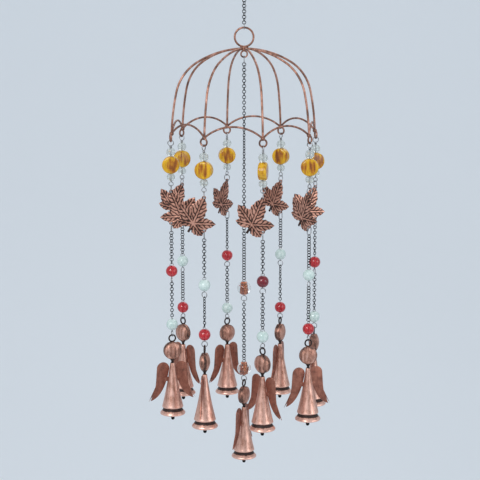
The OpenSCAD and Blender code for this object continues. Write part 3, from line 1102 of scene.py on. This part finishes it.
    def wings(self) -> bpy.types.Mesh:
        """Two wings cut from one sheet behind the cone, with the tab that is soldered to it."""
        lobe = [(9.6 + 6.6 * math.cos(a), -6 + 6.6 * math.sin(a)) for a in np.linspace(0, math.pi, 17)]
        inner = [(3, -6), (6.5, -26), (14, -38.5), (25.2, -40)]
        outer = [(25.2, -40), (16.5, -30), (17.6, -22), (16.2, -6)]
        edge = [Vector(p) for p in lobe]
        edge += [self._curve(inner, t) for t in np.linspace(0, 1, 17)[1:]]
        edge += [self._curve(outer, t) for t in np.linspace(0, 1, 17)[1:-1]]
        shape = Shape()
        front = self.wing_back - self.wing_t / 2
        verts = [shape.bm.verts.new((x, front, z)) for x, z in edge]
        face = bmesh.ops.contextual_create(shape.bm, geom=verts)["faces"][0]
        pushed = bmesh.ops.extrude_face_region(shape.bm, geom=[face])["geom"]
        bmesh.ops.translate(
            shape.bm, vec=(0, self.wing_t, 0), verts=[v for v in pushed if isinstance(v, bmesh.types.BMVert)]
        )
        along_sheet = [e for e in shape.bm.edges if abs(e.verts[0].co.y - e.verts[1].co.y) < 1e-6]
        shape.bevel([e for e in along_sheet if max(v.co.x for v in e.verts) < 24], 0.10, clamp=True)
        tab = bmesh.ops.create_cube(shape.bm, size=1)["verts"]
        shape.move(tab, Matrix.Translation((5.2, self.wing_back, -17.5)) @ Matrix.Diagonal((6.0, 0.9, 4.4, 1)))
        shape.bevel(list({e for v in tab for e in v.link_edges}), 0.3)
        bmesh.ops.mirror(
            shape.bm, geom=list(shape.bm.verts) + list(shape.bm.edges) + list(shape.bm.faces), axis="X", merge_dist=0.0
        )
        shape.move(shape.bm.verts, Matrix.Translation((0, 0, self.cone_z)))
        mesh = shape.mesh("wings")
        sharp_below(mesh, 40)
        return mesh


@dataclass(frozen=True)
class StrandPlan:
    """How one strand differs from the others."""

    number: int
    leaf_turn: float
    bell_turn: float
    amber_turn: float
    upper: Look
    lower: Look


PLANS = (
    StrandPlan(1, 0, -46, 80, Look.CRIMSON, Look.MINT),
    StrandPlan(2, -50, 19, 0, Look.MINT, Look.RED),
    StrandPlan(3, 25, 84, 20, Look.RED, Look.MINT),
    StrandPlan(4, -40, 68, -25, Look.MINT, Look.RED),
    StrandPlan(5, 55, 42, 15, Look.RED, Look.MINT),
    StrandPlan(6, -20, -45, 35, Look.MINT, Look.RED),
    StrandPlan(7, 176, 19, 0, Look.RED, Look.MINT),
    StrandPlan(8, 5, 85, -15, Look.MINT, Look.RED),
)


@dataclass
class Patterns:
    """Meshes that are made once and used by every strand."""

    blade: bpy.types.Mesh
    leaf_rings: bpy.types.Mesh
    head: bpy.types.Mesh
    body: bpy.types.Mesh
    wings: bpy.types.Mesh


@dataclass
class Strand:
    """One of the eight strands under the rim."""

    bench: Bench
    gauge: Gauge
    plan: StrandPlan
    patterns: Patterns
    bead_d: float = 12.0
    bead_h: float = 11.4

    @property
    def turn(self) -> float:
        """The strand's own turn round the dome, from the front."""
        at = self.bench.pivot(f"strand_swing_{self.plan.number}")
        return math.degrees(math.atan2(at.x, -at.y))

    def build(self) -> None:
        """Builds the strand from its rim eye down."""
        self.hang_drop()
        self.hang_leaf()
        self.hang_chains()
        k = self.plan.number
        hang_bell(self.bench, self.patterns, f"bell_{k}", f"bell_swing_{k}", self.plan.bell_turn)
        self.bench.dress_node(f"clapper_{k}", Look.IRON)

    def hang_drop(self) -> None:
        """Hangs the amber bead between its clear ones."""
        k = self.plan.number
        body, at = f"bead_drop_{k}", self.bench.pivot(f"strand_swing_{k}")
        drop = BeadDrop(self.gauge, self.plan.amber_turn, self.plan.leaf_turn, self.turn)
        self.bench.put(f"drop_wire_{k}", drop.wire(), Look.WIRE, body, at, stands_for=[body])
        self.bench.put(f"crackle_bead_upper_{k}", drop.upper_bead(), Look.CRACKLE, body, at)
        self.bench.put(f"amber_bead_{k}", drop.amber_bead(), Look.AMBER, body, at)
        self.bench.put(f"crackle_bead_lower_{k}", drop.lower_bead(), Look.CRACKLE, body, at)

    def hang_leaf(self) -> None:
        """Hangs the leaf by its ring."""
        k = self.plan.number
        body, at = f"leaf_{k}", self.bench.pivot(f"leaf_swing_{k}")
        self.bench.put(f"leaf_blade_{k}", self.patterns.blade, Look.LEAF, body, at, self.plan.leaf_turn, [body])
        self.bench.put(f"leaf_rings_{k}", self.patterns.leaf_rings, Look.WIRE, body, at, self.plan.leaf_turn)

    def hang_chains(self) -> None:
        """Hangs the two chain runs, each with its bead."""
        k = self.plan.number
        facings = ((self.plan.leaf_turn, self.turn), (self.turn + 90, self.plan.bell_turn + 90))
        ends = (f"lower_chain_swing_{k}", f"bell_swing_{k}")
        for part, (facing, loop), below, look in zip(
            ("upper", "lower"), facings, ends, (self.plan.upper, self.plan.lower)
        ):
            body = f"{part}_chain_{k}"
            at = self.bench.pivot(f"{part}_chain_swing_{k}")
            run = ChainRun(self.gauge, at.z, self.bench.pivot(below).z, self.bead_d, self.bead_h)
            self.bench.put(f"curb_{part}_{k}", run.chain(), Look.CHAIN, body, at, facing, [body])
            self.bench.put(f"pin_{part}_{k}", run.pin(loop - facing), Look.WIRE, body, at, facing)
            self.bench.put(f"bead_{part}_{k}", run.bead(), look, body, at, facing)


def hang_bell(bench: Bench, patterns: Patterns, body: str, joint: str, turn: float) -> None:
    """Hangs a bell from the loop above it.

    Args:
        bench: where pieces are put.
        patterns: the shared meshes.
        body: the body and node that the bell stands for.
        joint: the joint at the loop.
        turn: which way the bell faces.
    """
    at = bench.pivot(joint)
    bench.put(f"{body}_cone", patterns.body, Look.BELL, body, at, turn, [body])
    bench.put(f"{body}_head", patterns.head, Look.BELL, body, at, turn)
    bench.put(f"{body}_wings", patterns.wings, Look.WING, body, at, turn)


@dataclass
class MiddleStrand:
    """The long strand under the crown."""

    bench: Bench
    gauge: Gauge
    patterns: Patterns
    bead_d: float = 14.4
    bead_h: float = 13.8
    ring_w: float = 2.1
    ring_h: float = 7.6
    crown_eye_w: float = 0.8
    bell_turn: float = 66.0
    core_foot_r: float = 3.1
    core_top_r: float = 2.5
    core_h: float = 10.8

    def core(self, top: float) -> bpy.types.Mesh:
        """The amber core inside a clear bead, wider at its foot."""
        shape = Shape()
        mid = top - self.bead_h / 2
        shape.rod(self.core_foot_r, mid - self.core_h / 2, mid + self.core_h / 2, 32, self.core_top_r)
        shape.bevel(list(shape.bm.edges), 0.5)
        return shape.mesh("core")

    def build(self) -> None:
        """Builds the strand from the crown down."""
        top = self.bench.pivot("middle_swing")
        ring_z = self.crown_eye_w + self.gauge.pin_w + self.gauge.slack - self.ring_h / 2
        shape = Shape()
        shape.ring(self.ring_w, self.gauge.pin_w, ring_z, 90, stretch=self.ring_h - 2 * self.ring_w)
        self.bench.put("crown_link", shape.mesh("crown_link"), Look.WIRE, "middle_upper_chain", top)
        starts = (top.z + ring_z - self.ring_h / 2, self.bench.pivot("middle_lower_swing").z)
        ends = (self.bench.pivot("middle_lower_swing").z, self.bench.pivot("middle_bell_swing").z)
        for part, start, end, facing, loop in zip(
            ("upper", "lower"), starts, ends, (0.0, 90.0), (0.0, self.bell_turn + 90)
        ):
            body = f"middle_{part}_chain"
            run = ChainRun(self.gauge, start, end, self.bead_d, self.bead_h)
            at = Vector((0, 0, start))
            self.bench.put(f"middle_curb_{part}", run.chain(), Look.CHAIN, body, at, facing, [body])
            self.bench.put(f"middle_pin_{part}", run.pin(loop - facing), Look.WIRE, body, at, facing)
            self.bench.put(f"middle_bead_{part}", run.bead(), Look.CLEAR, body, at, facing)
            self.bench.put(f"middle_core_{part}", self.core(run.top - start), Look.CORE, body, at, facing)
        hang_bell(self.bench, self.patterns, "middle_bell", "middle_bell_swing", self.bell_turn)
        self.bench.dress_node("middle_clapper", Look.IRON)


@dataclass
class Dome:
    """The hook, the chain above and the wire dome, whose frame shapes are kept."""

    bench: Bench
    gauge: Gauge
    jump_r: float = 2.8
    hook_eye_w: float = 1.1

    def build(self) -> None:
        """Dresses the kept shapes and makes the top chain."""
        for node, look in (
            ("hook", Look.CHAIN),
            ("swivel_ring", Look.WIRE),
            ("top_ring", Look.RIM),
            ("crown_knot", Look.RIB),
            ("ribs", Look.RIB),
            ("scallops", Look.RIM),
            ("rim_eyes", Look.RIM),
        ):
            self.bench.dress_node(node, look)
        self.hang_top_chain()

    def hang_top_chain(self) -> None:
        """Hangs the short chain between the hook and the dome."""
        g, at = self.gauge, self.bench.pivot("top_chain_swing")
        jump_z = self.hook_eye_w + g.pin_w + g.slack - self.jump_r
        first = jump_z - self.jump_r + g.pin_w + g.link_w + g.slack - g.link_r
        end = self.bench.pivot("dome_turn").z - at.z
        links = round((first - g.link_r - end) / g.pitch) + 1
        chain = curb_chain(g, first, links)
        self.bench.put("top_curb", chain, Look.CHAIN, "top_chain", at, -(links - 1) * g.link_twist / 2, ["top_chain"])
        shape = Shape()
        shape.ring(self.jump_r, g.pin_w, jump_z, 90)
        self.bench.put("top_jump_ring", shape.mesh("top_jump_ring"), Look.WIRE, "top_chain", at)


# Studio


@dataclass
class Studio:
    """The camera, the lights, and a floor that sweeps up into a backdrop."""

    eye_plane: float
    aside: float = -0.00417
    away: float = 1.4389
    rise: float = 0.1359
    lens: float = 106.0
    pitch: float = 9.417
    floor_z: float = -1.3
    aim_z: float = -0.28
    sky: Colour = (0.80, 0.86, 0.93)
    sky_strength: float = 0.75

    def build(self) -> None:
        """Sets the stage."""
        self.set_camera()
        self.set_lights()
        self.lay_floor()

    def set_camera(self) -> None:
        """Sets the camera a little above the rim, looking down at the chime."""
        data = bpy.data.cameras.new("camera")
        data.lens, data.sensor_width, data.clip_end = self.lens, 36.0, 50.0
        camera = bpy.data.objects.new("camera", data)
        camera.location = (self.aside, -self.away, self.eye_plane + self.rise)
        camera.rotation_euler = (math.radians(90 - self.pitch), 0, 0)
        bpy.context.scene.collection.objects.link(camera)
        bpy.context.scene.camera = camera

    def set_lights(self) -> None:
        """Hangs three soft boxes and an even sky."""
        for name, at, size, power in (
            ("key_light", (-0.7, -1.3, 0.55), 0.8, 14.0),
            ("fill_light", (1.4, -0.9, 0.1), 1.0, 6.0),
            ("back_light", (0.3, 1.0, 0.7), 0.9, 4.0),
        ):
            data = bpy.data.lights.new(name, "AREA")
            data.shape, data.size, data.energy = "SQUARE", size, power
            light = bpy.data.objects.new(name, data)
            light.location = at
            aim = Vector((0, 0, self.aim_z)) - Vector(at)
            light.rotation_euler = aim.to_track_quat("-Z", "Y").to_euler()
            bpy.context.scene.collection.objects.link(light)
        world = bpy.data.worlds.new("sky")
        world.use_nodes = True
        background = world.node_tree.nodes["Background"]
        background.inputs["Color"].default_value = (*self.sky, 1)
        background.inputs["Strength"].default_value = self.sky_strength
        bpy.context.scene.world = world
        bpy.context.scene.view_settings.view_transform = "Standard"

    def lay_floor(self) -> None:
        """Lays a floor that curves up into the backdrop."""
        reach, depth, rise, wall = 6.0, 2.6, 1.2, 4.0
        bm = bmesh.new()
        foot = depth - rise
        line = [(-reach, 0.0), (foot, 0.0)]
        line += [(foot + rise * math.sin(a), rise - rise * math.cos(a)) for a in np.linspace(0.1, math.pi / 2, 12)]
        line.append((depth, wall))
        verts = [bm.verts.new((-reach, y, self.floor_z + z)) for y, z in line]
        edges = [bm.edges.new(pair) for pair in zip(verts, verts[1:])]
        swept = bmesh.ops.extrude_edge_only(bm, edges=edges)["geom"]
        bmesh.ops.translate(bm, vec=(2 * reach, 0, 0), verts=[v for v in swept if isinstance(v, bmesh.types.BMVert)])
        bmesh.ops.recalc_face_normals(bm, faces=bm.faces)
        for face in bm.faces:
            face.smooth = True
        mesh = bpy.data.meshes.new("floor")
        bm.to_mesh(mesh)
        bm.free()
        floor = bpy.data.objects.new("floor", mesh)
        mesh.materials.append(Look.STAGE.value.material())
        bpy.context.scene.collection.objects.link(floor)


def main() -> None:
    """Builds the chime on its frame and sets the stage."""
    logging.basicConfig(level=logging.WARNING)
    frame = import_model()
    bench, gauge = Bench(frame), Gauge()
    Studio(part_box("rim_eyes")[0].z).build()
    Dome(bench, gauge).build()
    leaf = Leaf(gauge, frame["nodes"]["leaf_1"], bench.pivot("leaf_swing_1") * MM)
    bell = Bell(gauge)
    patterns = Patterns(leaf.blade(), leaf.rings(), bell.head(), bell.body(), bell.wings())
    for plan in PLANS:
        Strand(bench, gauge, plan, patterns).build()
    MiddleStrand(bench, gauge, patterns).build()
    log.info("%d new pieces", len(bench.made))


if __name__ == "__main__":
    main()
